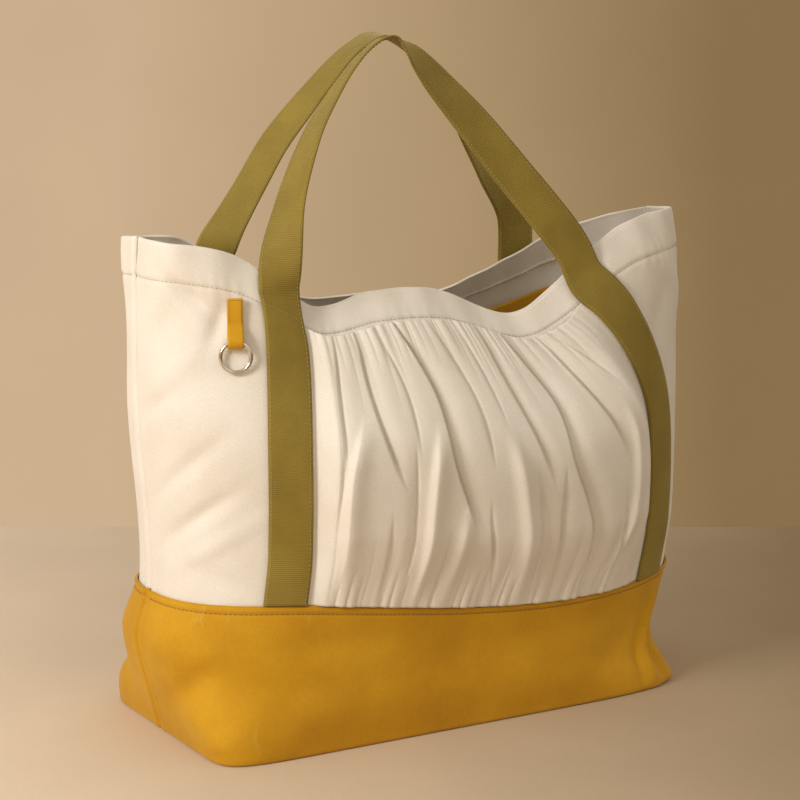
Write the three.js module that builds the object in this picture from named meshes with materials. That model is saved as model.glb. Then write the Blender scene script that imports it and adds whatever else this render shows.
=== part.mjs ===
// A large open tote: cream canvas front and back panels sewn into a mustard suede base, a gathered
// slip pocket between the two front straps, two olive webbing handles, and a nickel ring on a suede tab.
// Millimetres, +Z up. The origin is the middle of the base on the floor; the pocket side faces -Y.
import * as THREE from 'three';
import { mergeVertices } from 'three/addons/utils/BufferGeometryUtils.js';

// Bag sizes
const BAG_HEIGHT = 402; // floor to rim at the left side seam
const BAND_HEIGHT = 121; // floor to the suede seam there
const BASE_LENGTH = 438;
const BASE_DEPTH = 212;
const SEAM_LENGTH = 466;
const SEAM_DEPTH = 208;
const BELLY_LENGTH = 490;
const BELLY_DEPTH = 214;
const RIM_LENGTH = 478;
const RIM_DEPTH = 118;
const BAND_SAG = 27; // the band's top has sunk by this much in the middle and on the right
const RIM_SAG = 60; // the rim hangs this much lower between the straps
const CANVAS_THICKNESS = 1.5;
const SUEDE_THICKNESS = 2;
const HEM_DEPTH = 30;
const CANVAS_TUCK = 12; // canvas that reaches down behind the suede

// Webbing, pocket and ring sizes
const STRAP_WIDTH = 34;
const STRAP_THICKNESS = 2;
const STRAP_SPACING = 340; // between the middles of a handle's two sewn ends
const HANDLE_HEIGHT = 547; // floor to the middle of the webbing at its highest
const POCKET_DROP = 30; // rim to the pocket's gathered edge
const POCKET_THICKNESS = 1;
const POCKET_BULGE = 20;
const POCKET_TUCK = 6; // pocket cloth under each strap
const FOLD_DEPTH = 9;
const GATHER_DEPTH = 2.5;
const GATHERS = 21;
const INNER_POCKET_DROP = 56; // rim to the inner pocket's edge
const INNER_POCKET_GAPE = 4;
const INNER_POCKET_THICKNESS = 1.2;
const TAB_WIDTH = 12;
const TAB_LENGTH = 33;
const TAB_THICKNESS = 1.4;
const RING_BORE = 20;
const RING_WIRE = 3.2;
const CLEARANCE = 0.3; // between pieces that touch

const FRONT = -1;
const BACK = 1;
const { lerp, clamp, smoothstep } = THREE.MathUtils;

// Level 0 is the floor, 1 the suede seam and 2 the rim. Shift moves a section to the right, as a
// share of its length.
const SECTIONS = [
  { level: 0, length: BASE_LENGTH, depth: BASE_DEPTH, shift: 0 },
  { level: 0.33, length: BASE_LENGTH * 1.018, depth: BASE_DEPTH * 1.02, shift: -0.018 },
  { level: 0.7, length: SEAM_LENGTH, depth: SEAM_DEPTH, shift: -0.017 },
  { level: 1, length: SEAM_LENGTH, depth: SEAM_DEPTH, shift: 0.001 },
  { level: 1.15, length: SEAM_LENGTH * 1.023, depth: SEAM_DEPTH, shift: 0.011 },
  { level: 1.5, length: BELLY_LENGTH, depth: BELLY_DEPTH, shift: 0.009 },
  { level: 1.8, length: BELLY_LENGTH, depth: BELLY_DEPTH * 0.78, shift: 0.008 },
  { level: 2, length: RIM_LENGTH, depth: RIM_DEPTH, shift: 0.001 },
];

// Front is the share of the depth before the side seams, seam how far back those are as a share of
// the base's depth, and left and right how square the corners are at each end.
const CORNERS = [
  { level: 0, front: 0.55, seam: 0.05, left: 14, right: 7 },
  { level: 0.33, front: 0.55, seam: 0.04, left: 4.5, right: 3.5 },
  { level: 0.7, front: 0.55, seam: 0.03, left: 3, right: 3.2 },
  { level: 1, front: 0.55, seam: 0.015, left: 2.6, right: 2.9 },
  { level: 1.5, front: 0.55, seam: 0.012, left: 2.5, right: 2.4 },
  { level: 1.8, front: 0.54, seam: 0.012, left: 2.8, right: 3 },
  { level: 2, front: 0.54, seam: 0.012, left: 5, right: 5 },
];

// How far the band's top and the rim hang down, at shares of the way from the left side seam to the
// right one.
const SAGS = [
  { along: 0, band: 0, front: 0, back: 0 },
  { along: 0.1, band: 0, front: 0.02, back: 0.12 },
  { along: 0.17, band: 0, front: 0.18, back: 0.2 },
  { along: 0.23, band: 0.03, front: 0.55, back: 0.5 },
  { along: 0.29, band: 0.15, front: 0.93, back: 0.85 },
  { along: 0.38, band: 0.4, front: 0.8, back: 1.18 },
  { along: 0.48, band: 0.7, front: 0.85, back: 1.2 },
  { along: 0.6, band: 0.95, front: 1.28, back: 1.28 },
  { along: 0.66, band: 1, front: 1.1, back: 1.15 },
  { along: 0.74, band: 1, front: 0.55, back: 0.9 },
  { along: 0.81, band: 0.95, front: 0.2, back: 0.62 },
  { along: 0.9, band: 0.9, front: 0.1, back: 0.4 },
  { along: 1, band: 0.9, front: 0.18, back: 0.18 },
];

// The middles of the sewn straps, as shares of half the strap spacing.
const FRONT_STRAPS = [
  { level: 1, left: -0.98, right: 1.05 },
  { level: 1.25, left: -0.975, right: 1.12 },
  { level: 1.5, left: -0.965, right: 1.1 },
  { level: 1.8, left: -0.925, right: 0.86 },
  { level: 2, left: -0.9, right: 0.69 },
];
const BACK_STRAPS = [
  { level: 1, left: -1, right: 1 },
  { level: 1.5, left: -0.97, right: 0.97 },
  { level: 2, left: -0.85, right: 0.82 },
];

// Smooth value of a table's column at a place between its rows.
function column(rows, key, place, name) {
  let i = 0;
  while (i < rows.length - 2 && place > rows[i + 1][key]) i += 1;
  const before = rows[Math.max(i - 1, 0)];
  const a = rows[i];
  const b = rows[i + 1];
  const after = rows[Math.min(i + 2, rows.length - 1)];
  const span = b[key] - a[key];
  const t = clamp((place - a[key]) / span, 0, 1);
  const slopeA = ((b[name] - before[name]) / (b[key] - before[key])) * span;
  const slopeB = ((after[name] - a[name]) / (after[key] - a[key])) * span;
  const ease = t * t * (3 - 2 * t);
  const bend = t * (1 - t) * ((1 - t) * slopeA - t * slopeB);
  return lerp(a[name], b[name], ease) + bend;
}

const bump = (distance) => Math.exp(-distance * distance);

// Half of a section: its half length, its depth on one side, and points at angles from the left seam.
const ARC_STEPS = 160;
const halfSections = new Map();

function halfSection(side, level) {
  const key = side + ':' + level.toFixed(4);
  if (halfSections.has(key)) return halfSections.get(key);
  const depth = column(SECTIONS, 'level', level, 'depth');
  const front = column(CORNERS, 'level', level, 'front');
  const length = column(SECTIONS, 'level', level, 'length');
  const half = {
    middle: column(SECTIONS, 'level', level, 'shift') * length,
    long: length / 2,
    deep: depth * (side === FRONT ? front : 1 - front),
    seam: column(CORNERS, 'level', level, 'seam') * BASE_DEPTH,
    left: column(CORNERS, 'level', level, 'left'),
    right: column(CORNERS, 'level', level, 'right'),
    arcs: [0],
  };
  let last = halfPoint(half, 0);
  for (let i = 1; i <= ARC_STEPS; i += 1) {
    const next = halfPoint(half, (Math.PI * i) / ARC_STEPS);
    half.arcs.push(half.arcs[i - 1] + Math.hypot(next.x - last.x, next.y - last.y));
    last = next;
  }
  half.total = half.arcs[ARC_STEPS];
  halfSections.set(key, half);
  return half;
}

function halfPoint(half, angle) {
  const c = -Math.cos(angle);
  const s = Math.sin(angle);
  const n = c < 0 ? half.left : half.right;
  const r = Math.pow(Math.pow(Math.abs(c) / half.long, n) + Math.pow(Math.abs(s) / half.deep, n), -1 / n);
  return { x: c * r, y: s * r };
}

function halfAngle(half, along) {
  const target = clamp(along, 0, 1) * half.total;
  let low = 0;
  let high = ARC_STEPS;
  while (high - low > 1) {
    const middle = (low + high) >> 1;
    if (half.arcs[middle] > target) high = middle;
    else low = middle;
  }
  const share = (target - half.arcs[low]) / (half.arcs[high] - half.arcs[low]);
  return (Math.PI * (low + share)) / ARC_STEPS;
}

function heightAt(side, along, level) {
  const bandTop = BAND_HEIGHT - BAND_SAG * column(SAGS, 'along', along, 'band');
  if (level <= 1) return level * bandTop;
  const up = level - 1;
  const sag = RIM_SAG * column(SAGS, 'along', along, side === FRONT ? 'front' : 'back');
  return lerp(bandTop, BAG_HEIGHT, up) - sag * up * up;
}

// A point of the bag's cloth, lifted outwards by a number of millimetres.
function cloth(side, along, level, lift = 0) {
  const half = halfSection(side, level);
  const angle = halfAngle(half, along);
  const point = halfPoint(half, angle);
  const n = point.x < 0 ? half.left : half.right;
  const nx = (Math.sign(point.x) * Math.pow(Math.abs(point.x) / half.long, n - 1)) / half.long;
  const ny = Math.pow(Math.max(point.y, 0) / half.deep, n - 1) / half.deep;
  const size = Math.hypot(nx, ny);
  return new THREE.Vector3(
    half.middle + point.x + (nx / size) * lift,
    half.seam + side * (point.y + (ny / size) * lift + CLEARANCE / 2),
    heightAt(side, along, level),
  );
}

// The share of the way along a panel that lies a given distance right of its middle.
const alongAt = (side, level, right) => 0.5 + right / halfSection(side, level).total;

// The distance from a panel's middle to the middle of a strap.
const strapAt = (side, level, end) =>
  (column(side === FRONT ? FRONT_STRAPS : BACK_STRAPS, 'level', level, end) * STRAP_SPACING) / 2;

// Mesh building
class Builder {
  constructor() {
    this.positions = [];
    this.faces = [];
  }

  point(v) {
    this.positions.push(v.x, v.y, v.z);
    return this.positions.length / 3 - 1;
  }

  quad(a, b, c, d, inward = false) {
    if (inward) this.faces.push(a, c, b, a, d, c);
    else this.faces.push(a, b, c, a, c, d);
  }

  // Rows of equal length joined by quads. Rows go up and run to the right as seen from outside.
  grid(rows, { closed = false, inward = false } = {}) {
    const ids = rows.map((row) => row.map((v) => this.point(v)));
    for (let j = 0; j < ids.length - 1; j += 1) {
      const count = ids[j].length;
      for (let i = 0; i < (closed ? count : count - 1); i += 1) {
        const k = (i + 1) % count;
        this.quad(ids[j][i], ids[j][k], ids[j + 1][k], ids[j + 1][i], inward);
      }
    }
    return ids;
  }

  geometry() {
    const made = new THREE.BufferGeometry();
    made.setAttribute('position', new THREE.Float32BufferAttribute(this.positions, 3));
    made.setIndex(this.faces);
    const merged = mergeVertices(made, 1e-4);
    merged.computeVertexNormals();
    return merged;
  }
}

// A closed sheet between an outer and an inner grid of points.
function sheetGeometry(outer, inner) {
  const builder = new Builder();
  const a = builder.grid(outer);
  const b = builder.grid(inner, { inward: true });
  const top = a.length - 1;
  const end = a[0].length - 1;
  for (let i = 0; i < end; i += 1) {
    builder.quad(b[0][i], b[0][i + 1], a[0][i + 1], a[0][i]);
    builder.quad(a[top][i], a[top][i + 1], b[top][i + 1], b[top][i]);
  }
  for (let j = 0; j < top; j += 1) {
    builder.quad(b[j][0], a[j][0], a[j + 1][0], b[j + 1][0]);
    builder.quad(a[j][end], b[j][end], b[j + 1][end], a[j + 1][end]);
  }
  return builder.geometry();
}

const spread = (count, from, to) => Array.from({ length: count + 1 }, (_, i) => lerp(from, to, i / count));

const canvas = { color: 0xe6dccb, roughness: 0.85, metalness: 0 };
const suede = { color: 0xc98a1a, roughness: 0.75, metalness: 0 };
const webbing = { color: 0x7d6a22, roughness: 0.8, metalness: 0 };
const nickel = { color: 0xb9b2a6, roughness: 0.25, metalness: 1 };

const bag = new THREE.Group();

function addPiece(name, geometry, finish, parent = bag) {
  const mesh = new THREE.Mesh(geometry, new THREE.MeshStandardMaterial(finish));
  mesh.name = name;
  parent.add(mesh);
}

// Canvas panels
const PANEL_HEIGHT = BAG_HEIGHT - BAND_HEIGHT;
const HEM_LEVEL = 2 - HEM_DEPTH / PANEL_HEIGHT;
const HEM_STEP = 0.004;
const TUCK_LEVEL = 1 - CANVAS_TUCK / BAND_HEIGHT;
const INNER_POCKET_TOP = 2 - INNER_POCKET_DROP / PANEL_HEIGHT;
const PANEL_LEVELS = [
  TUCK_LEVEL, 1, 1.07, ...spread(6, 1.15, INNER_POCKET_TOP), HEM_LEVEL - HEM_STEP, HEM_LEVEL, 1.95, 2,
];
const LEFT_ALONGS = [0, 0.05, 0.1, 0.145, 0.165, 0.185, 0.22, 0.27, 0.315, 0.36, 0.405, 0.45];
const ALONGS = [...LEFT_ALONGS, 0.5, ...LEFT_ALONGS.map((along) => 1 - along).reverse()];

function canvasPanel(side) {
  const order = side === FRONT ? ALONGS : [...ALONGS].reverse();
  const wall = (level) => (level >= HEM_LEVEL ? 2 * CANVAS_THICKNESS : CANVAS_THICKNESS);
  const outer = PANEL_LEVELS.map((level) => order.map((along) => cloth(side, along, level)));
  const inner = PANEL_LEVELS.map((level) => order.map((along) => cloth(side, along, level, -wall(level))));
  return sheetGeometry(outer, inner);
}

addPiece('front_panel', canvasPanel(FRONT), canvas);
addPiece('back_panel', canvasPanel(BACK), canvas);

// Suede base, one piece folded up from the floor
const BASE_LEVELS = [0.04, 0.15, 0.27, 0.4, 0.55, 0.72, TUCK_LEVEL, 1];
const FLOOR_FOLD = 4; // the wall turns under over this length

function baseRing(level, lift, height) {
  const columns = ALONGS.slice(0, -1);
  const front = columns.map((along) => cloth(FRONT, along, level, lift));
  const back = columns.map((along) => cloth(BACK, 1 - along, level, lift));
  const ring = [...front, ...back];
  if (height !== undefined) ring.forEach((v) => v.setZ(height));
  return ring;
}

function baseGeometry() {
  const builder = new Builder();
  const outside = SUEDE_THICKNESS + CLEARANCE;
  const outer = builder.grid(
    [baseRing(0, outside - FLOOR_FOLD, 0), ...BASE_LEVELS.map((level) => baseRing(level, outside))],
    { closed: true },
  );
  const inner = builder.grid(
    [baseRing(0, -FLOOR_FOLD, SUEDE_THICKNESS), ...BASE_LEVELS.map((level) => baseRing(level, CLEARANCE))],
    { closed: true, inward: true },
  );
  const count = outer[0].length;
  const top = outer.length - 1;
  for (let i = 0; i < count; i += 1) {
    const k = (i + 1) % count;
    builder.quad(outer[top][i], outer[top][k], inner[top][k], inner[top][i]);
  }
  const plan = (id) => new THREE.Vector2(builder.positions[3 * id], builder.positions[3 * id + 1]);
  const flat = (ids) => ids.map(plan);
  for (const [a, b, c] of THREE.ShapeUtils.triangulateShape(flat(outer[0]), [])) {
    builder.faces.push(outer[0][a], outer[0][c], outer[0][b]);
  }
  for (const [a, b, c] of THREE.ShapeUtils.triangulateShape(flat(inner[0]), [])) {
    builder.faces.push(inner[0][a], inner[0][b], inner[0][c]);
  }
  return builder.geometry();
}

addPiece('suede_base', baseGeometry(), suede);

// Gathered front pocket
const POCKET_COLUMNS = 84;
const POCKET_ROWS = 12;
const POCKET_EDGE = 0.6; // cloth to panel at the pocket's sewn edges

// Long folds: shares across the pocket at its bottom, middle and top, the shares of its height that
// each one runs between, and its depth as a share of the fold depth. Raised ones are below zero.
const FOLDS = [
  { bottom: 0.1, middle: 0.105, top: 0.12, from: 0.45, to: 1, deep: 0.6, wide: 0.014 },
  { bottom: 0.36, middle: 0.26, top: 0.21, from: 0.45, to: 1, deep: 0.8, wide: 0.016 },
  { bottom: 0.54, middle: 0.445, top: 0.42, from: 0.2, to: 1, deep: 1, wide: 0.018 },
  { bottom: 0.8, middle: 0.7, top: 0.63, from: 0.45, to: 1, deep: 0.8, wide: 0.016 },
  { bottom: 0.82, middle: 0.8, top: 0.69, from: 0, to: 1, deep: 1.1, wide: 0.018 },
  { bottom: 0.98, middle: 0.94, top: 0.78, from: 0.45, to: 1, deep: 0.7, wide: 0.016 },
  { bottom: 0.083, middle: 0.125, top: 0.2, from: -0.2, to: 0.75, deep: -0.6, wide: 0.02 },
  { bottom: 0.31, middle: 0.385, top: 0.42, from: -0.2, to: 0.6, deep: -0.6, wide: 0.02 },
  { bottom: 0.6, middle: 0.63, top: 0.64, from: -0.2, to: 0.55, deep: -0.6, wide: 0.02 },
  { bottom: 0.7, middle: 0.75, top: 0.8, from: -0.2, to: 0.4, deep: 0.5, wide: 0.016 },
  { bottom: 0.54, middle: 0.55, top: 0.55, from: 0, to: 0.35, deep: 0.5, wide: 0.016 },
];

const pocketTop = 2 - POCKET_DROP / PANEL_HEIGHT;
const pocketLevels = spread(POCKET_ROWS, 1 + CLEARANCE / PANEL_HEIGHT, pocketTop);

function foldDepth(across, up) {
  let depth = 0;
  for (const fold of FOLDS) {
    const { bottom, middle, top } = fold;
    const bow = 4 * up * (1 - up) * (middle - (bottom + top) / 2);
    const place = lerp(bottom, top, up) + bow;
    const start = smoothstep(up, fold.from, fold.from + 0.2);
    const end = 1 - 0.6 * smoothstep(up, fold.to - 0.2, fold.to);
    depth += fold.deep * start * end * bump((across - place) / fold.wide);
  }
  return FOLD_DEPTH * depth;
}

function pocketLift(across, up) {
  const flat = (POCKET_TUCK + 3) / (STRAP_SPACING - STRAP_WIDTH);
  const sides = smoothstep(across, flat, flat + 0.09) * smoothstep(1 - across, flat, flat + 0.06);
  const low = smoothstep(up, -0.03, 0.2);
  const high = 1 - 0.65 * smoothstep(up, 0.5, 1);
  const near = Math.max(1 - up / 0.22, (up - 0.75) / 0.25, 0);
  const gathers = GATHER_DEPTH * near * (0.5 + 0.5 * Math.cos(2 * Math.PI * across * GATHERS));
  const puff = POCKET_BULGE * low * high - foldDepth(across, up) * low + gathers;
  return POCKET_EDGE + Math.max(sides * puff, 0);
}

function pocketGeometry() {
  const layer = (thickness) =>
    pocketLevels.map((level, j) =>
      spread(POCKET_COLUMNS, 0, 1).map((across) => {
        const inset = STRAP_WIDTH / 2 - POCKET_TUCK;
        const from = strapAt(FRONT, level, 'left') + inset;
        const to = strapAt(FRONT, level, 'right') - inset;
        const along = alongAt(FRONT, level, lerp(from, to, across));
        return cloth(FRONT, along, level, pocketLift(across, j / POCKET_ROWS) + thickness);
      }),
    );
  return sheetGeometry(layer(POCKET_THICKNESS), layer(0));
}

addPiece('gathered_pocket', pocketGeometry(), canvas);

// Suede pocket inside the back panel, off centre, whose top edge shows over the front rim
function innerPocketGeometry() {
  const levels = PANEL_LEVELS.filter((level) => level > 1.2 && level < INNER_POCKET_TOP + 0.01);
  const columns = ALONGS.filter((along) => along >= 0.5 && along < 0.86).reverse();
  const last = columns.length - 1;
  const open = (level) => INNER_POCKET_GAPE * smoothstep(level, 1.5, INNER_POCKET_TOP);
  const gape = (i, level) => open(level) * Math.sin((Math.PI * i) / last);
  const layer = (depth) =>
    levels.map((level) => columns.map((along, i) => cloth(BACK, along, level, -depth - gape(i, level))));
  const outside = CANVAS_THICKNESS + CLEARANCE;
  return sheetGeometry(layer(outside), layer(outside + INNER_POCKET_THICKNESS));
}

addPiece('inner_pocket', innerPocketGeometry(), suede);

// Webbing handles. Each is one ribbon, sewn up a panel, free over the top, and sewn down again.
// Reach is a share of half the strap spacing, lean runs from the panel to the middle of the bag, rise
// is a share of the handle's rise, and turn twists the ribbon about its own length in degrees.
const FRONT_HANDLE = [
  { reach: -1, lean: 0, rise: 0.05, turn: -3 },
  { reach: -0.965, lean: 0.07, rise: 0.181, turn: -52 },
  { reach: -0.883, lean: 0.2, rise: 0.358, turn: -80 },
  { reach: -0.789, lean: 0.3, rise: 0.504, turn: -88 },
  { reach: -0.67, lean: 0.41, rise: 0.653, turn: -97 },
  { reach: -0.548, lean: 0.51, rise: 0.757, turn: -102 },
  { reach: -0.423, lean: 0.6, rise: 0.853, turn: -107 },
  { reach: -0.288, lean: 0.68, rise: 0.934, turn: -110 },
  { reach: -0.129, lean: 0.72, rise: 0.998, turn: -104 },
  { reach: -0.027, lean: 0.72, rise: 0.964, turn: -72 },
  { reach: 0.074, lean: 0.69, rise: 0.905, turn: -44 },
  { reach: 0.188, lean: 0.63, rise: 0.807, turn: -30 },
  { reach: 0.41, lean: 0.47, rise: 0.617, turn: -12 },
  { reach: 0.594, lean: 0.3, rise: 0.437, turn: -4 },
  { reach: 0.786, lean: 0.14, rise: 0.26, turn: 0 },
  { reach: 0.948, lean: 0.05, rise: 0.105, turn: 0 },
];
const BACK_HANDLE = [
  { reach: -1, lean: 0, rise: 0.05, turn: -5 },
  { reach: -0.925, lean: 0.12, rise: 0.193, turn: -66 },
  { reach: -0.805, lean: 0.26, rise: 0.377, turn: -74 },
  { reach: -0.69, lean: 0.37, rise: 0.548, turn: -76 },
  { reach: -0.569, lean: 0.48, rise: 0.676, turn: -79 },
  { reach: -0.43, lean: 0.56, rise: 0.805, turn: -86 },
  { reach: -0.297, lean: 0.63, rise: 0.915, turn: -92 },
  { reach: -0.178, lean: 0.65, rise: 0.972, turn: -92 },
  { reach: -0.057, lean: 0.63, rise: 0.992, turn: -88 },
  { reach: 0.298, lean: 0.52, rise: 0.792, turn: -60 },
  { reach: 0.614, lean: 0.33, rise: 0.511, turn: -40 },
  { reach: 0.773, lean: 0.22, rise: 0.378, turn: -24 },
  { reach: 0.934, lean: 0.11, rise: 0.25, turn: -8 },
  { reach: 0.985, lean: 0.06, rise: 0.15, turn: 0 },
];
const FRONT_STRAP_LIFT = 3 * CLEARANCE + POCKET_EDGE + POCKET_THICKNESS;
const BACK_STRAP_LIFT = 2 * CLEARANCE;
const ACROSS = [-0.5, 0, 0.5];
const strapLevels = [1 + CLEARANCE / PANEL_HEIGHT, 1.1, 1.2, 1.3, 1.4, 1.5, 1.6, 1.7, 1.8, 1.88, 1.95];

// Stations of a sewn stretch, each with its points across the ribbon.
function sewnStations(side, end) {
  return strapLevels.map((level) => {
    const row = (lift) => ACROSS.map((a) => {
      const along = alongAt(side, level, strapAt(side, level, end) + a * STRAP_WIDTH);
      return cloth(side, along, level, lift);
    });
    const under = side === FRONT ? FRONT_STRAP_LIFT : BACK_STRAP_LIFT;
    return { outer: row(under + STRAP_THICKNESS), inner: row(under) };
  });
}

function handleGeometry(side, table) {
  const left = sewnStations(side, 'left');
  const right = sewnStations(side, 'right');
  const middleOf = (station) => station.outer[1].clone().add(station.inner[1]).multiplyScalar(0.5);
  const last = strapLevels.length - 1;
  const ends = [left, right].map((sewn) => [middleOf(sewn[last - 1]), middleOf(sewn[last])]);
  const foot = (share) => ends[0][1].clone().lerp(ends[1][1], (share + 1) / 2);
  const free = table.map(({ reach, lean, rise }) => {
    const start = foot(reach);
    return new THREE.Vector3(start.x, lerp(start.y, 0, lean), lerp(start.z, HANDLE_HEIGHT, rise));
  });
  const route = new THREE.CatmullRomCurve3(
    [ends[0][0], ends[0][1], ...free, ends[1][1], ends[1][0]], false, 'centripetal');
  const turns = [0, 0, ...table.map((row) => row.turn), 0, 0];
  const count = turns.length - 1;
  const loop = spread(40, 1 / count, 1 - 1 / count).slice(1, -1).map((t) => {
    const middle = route.getPoint(t);
    const tangent = route.getTangent(t);
    const i = Math.min(Math.floor(t * count), count - 1);
    const turn = lerp(turns[i], turns[i + 1], smoothstep(t * count - i, 0, 1));
    const facing = new THREE.Vector3(0, FRONT, 0).addScaledVector(tangent, tangent.y).normalize();
    facing.applyAxisAngle(tangent, THREE.MathUtils.degToRad(turn));
    const wide = new THREE.Vector3().crossVectors(tangent, facing);
    const out = side === FRONT ? facing : facing.negate();
    const row = (offset) => ACROSS.map((a) =>
      middle.clone().addScaledVector(wide, a * STRAP_WIDTH).addScaledVector(out, offset));
    return { outer: row(STRAP_THICKNESS / 2), inner: row(-STRAP_THICKNESS / 2) };
  });
  const flip = (rows) => [...rows].reverse();
  const down = flip(right).map(({ outer, inner }) => ({ outer: flip(outer), inner: flip(inner) }));
  const stations = [...left, ...loop, ...down];
  const order = (row) => (side === FRONT ? row : flip(row));
  return sheetGeometry(stations.map((s) => order(s.outer)), stations.map((s) => order(s.inner)));
}

addPiece('front_handle', handleGeometry(FRONT, FRONT_HANDLE), webbing);
addPiece('back_handle', handleGeometry(BACK, BACK_HANDLE), webbing);

// Suede tab on the left of the front panel, folded round the ring
const TAB_FROM_STRAP = 23; // the left strap's outer edge to the middle of the tab
const TAB_DROP = 37; // rim to the tab's top
const TAB_LIFT = 0.6;
const RING_RADIUS = (RING_BORE + RING_WIRE) / 2;
const RING_DIP = RING_RADIUS - Math.sqrt((RING_BORE / 2) ** 2 - (TAB_WIDTH / 2) ** 2);
const TAB_LOOP = RING_DIP + CLEARANCE; // inside radius of the fold, clear of the ring's dip at its sides

// The tab's own frame: x to the right, y up the panel, z away from it, and the fold's centre at 0.
function tabFrame() {
  const level = 2 - (TAB_DROP + TAB_LENGTH) / PANEL_HEIGHT;
  const middle = strapAt(FRONT, level, 'left') - STRAP_WIDTH / 2 - TAB_FROM_STRAP;
  const spot = (right, up) => {
    const raised = level + up / PANEL_HEIGHT;
    return cloth(FRONT, alongAt(FRONT, raised, middle + right), raised);
  };
  const centre = spot(0, 0);
  const x = spot(TAB_WIDTH / 2, 0).sub(spot(-TAB_WIDTH / 2, 0)).setZ(0).normalize();
  const z = new THREE.Vector3().crossVectors(x, spot(0, TAB_LENGTH).sub(centre)).normalize();
  const y = new THREE.Vector3().crossVectors(z, x);
  const frame = new THREE.Group();
  frame.position.copy(centre).addScaledVector(z, TAB_LIFT + TAB_THICKNESS + TAB_LOOP);
  frame.quaternion.setFromRotationMatrix(new THREE.Matrix4().makeBasis(x, y, z));
  bag.add(frame);
  return frame;
}

// Side view of the folded strip, with its loop open at the bottom for the ring.
function tabGeometry() {
  const outer = TAB_LOOP + TAB_THICKNESS;
  const shape = new THREE.Shape();
  shape.moveTo(-outer, TAB_LENGTH);
  shape.lineTo(-outer, 0);
  shape.absarc(0, 0, outer, Math.PI, 2 * Math.PI, false);
  shape.lineTo(outer, TAB_LOOP);
  shape.lineTo(2 * TAB_THICKNESS - outer, 4 * TAB_LOOP);
  shape.lineTo(2 * TAB_THICKNESS - outer, TAB_LENGTH);
  shape.closePath();
  const loop = new THREE.Path();
  loop.moveTo(-TAB_LOOP, 0);
  loop.absarc(0, 0, TAB_LOOP, Math.PI, 2 * Math.PI, false);
  loop.lineTo(TAB_LOOP, TAB_LOOP * 0.9);
  loop.lineTo(-TAB_LOOP, TAB_LOOP * 3.4);
  loop.closePath();
  shape.holes.push(loop);
  const options = { depth: TAB_WIDTH, bevelEnabled: false, curveSegments: 8 };
  const made = new THREE.ExtrudeGeometry(shape, options);
  return made.rotateY(-Math.PI / 2).translate(TAB_WIDTH / 2, 0, 0);
}

const tab = tabFrame();
addPiece('ring_tab', tabGeometry(), suede, tab);
const ringGeometry = new THREE.TorusGeometry(RING_RADIUS, RING_WIRE / 2, 10, 32);
addPiece('o_ring', ringGeometry.translate(0, -RING_RADIUS, 0), nickel, tab);

export default bag;
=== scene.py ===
import bmesh
import bpy
import numpy as np
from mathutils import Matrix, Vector


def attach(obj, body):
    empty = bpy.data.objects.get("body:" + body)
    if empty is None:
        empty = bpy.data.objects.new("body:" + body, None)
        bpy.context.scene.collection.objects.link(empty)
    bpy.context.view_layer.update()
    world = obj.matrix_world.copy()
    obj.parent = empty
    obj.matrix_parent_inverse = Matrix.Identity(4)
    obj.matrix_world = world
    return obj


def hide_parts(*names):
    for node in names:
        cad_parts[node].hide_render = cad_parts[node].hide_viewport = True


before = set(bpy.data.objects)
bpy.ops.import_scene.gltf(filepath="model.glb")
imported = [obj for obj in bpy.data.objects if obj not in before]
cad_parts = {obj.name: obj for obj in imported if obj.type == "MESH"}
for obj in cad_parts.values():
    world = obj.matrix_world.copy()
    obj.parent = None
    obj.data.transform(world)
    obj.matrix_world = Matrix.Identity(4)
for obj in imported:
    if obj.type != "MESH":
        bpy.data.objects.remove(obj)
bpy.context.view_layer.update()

# Sizes of the bag, in metres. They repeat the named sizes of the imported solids.
MM = 0.001
BAG_HEIGHT = 402 * MM
BAND_HEIGHT = 121 * MM
BASE_LENGTH = 438 * MM
BASE_DEPTH = 212 * MM
SEAM_LENGTH = 466 * MM
SEAM_DEPTH = 208 * MM
BELLY_LENGTH = 490 * MM
BELLY_DEPTH = 214 * MM
RIM_LENGTH = 478 * MM
RIM_DEPTH = 118 * MM
BAND_SAG = 27 * MM
RIM_SAG = 60 * MM
CANVAS_THICKNESS = 1.5 * MM
SUEDE_THICKNESS = 2 * MM
HEM_DEPTH = 30 * MM
CANVAS_TUCK = 12 * MM
STRAP_WIDTH = 34 * MM
STRAP_THICKNESS = 2 * MM
STRAP_SPACING = 340 * MM
HANDLE_HEIGHT = 547 * MM
POCKET_DROP = 30 * MM
POCKET_THICKNESS = 1 * MM
POCKET_BULGE = 20 * MM
POCKET_TUCK = 6 * MM
POCKET_EDGE = 0.6 * MM
FOLD_DEPTH = 9 * MM
INNER_POCKET_DROP = 56 * MM
INNER_POCKET_GAPE = 4 * MM
INNER_POCKET_THICKNESS = 1.2 * MM
TAB_WIDTH = 12 * MM
TAB_LENGTH = 33 * MM
TAB_THICKNESS = 1.4 * MM
TAB_FROM_STRAP = 23 * MM
TAB_DROP = 37 * MM
TAB_LIFT = 0.6 * MM
RING_BORE = 20 * MM
RING_WIRE = 3.2 * MM
CLEARANCE = 0.3 * MM
PANEL_HEIGHT = BAG_HEIGHT - BAND_HEIGHT
HEM_LEVEL = 2 - HEM_DEPTH / PANEL_HEIGHT
TUCK_LEVEL = 1 - CANVAS_TUCK / BAND_HEIGHT
POCKET_TOP_LEVEL = 2 - POCKET_DROP / PANEL_HEIGHT
INNER_POCKET_TOP_LEVEL = 2 - INNER_POCKET_DROP / PANEL_HEIGHT
SEAM_TOP_LEVEL = 1 + CLEARANCE / PANEL_HEIGHT
FRONT = -1
BACK = 1

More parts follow.
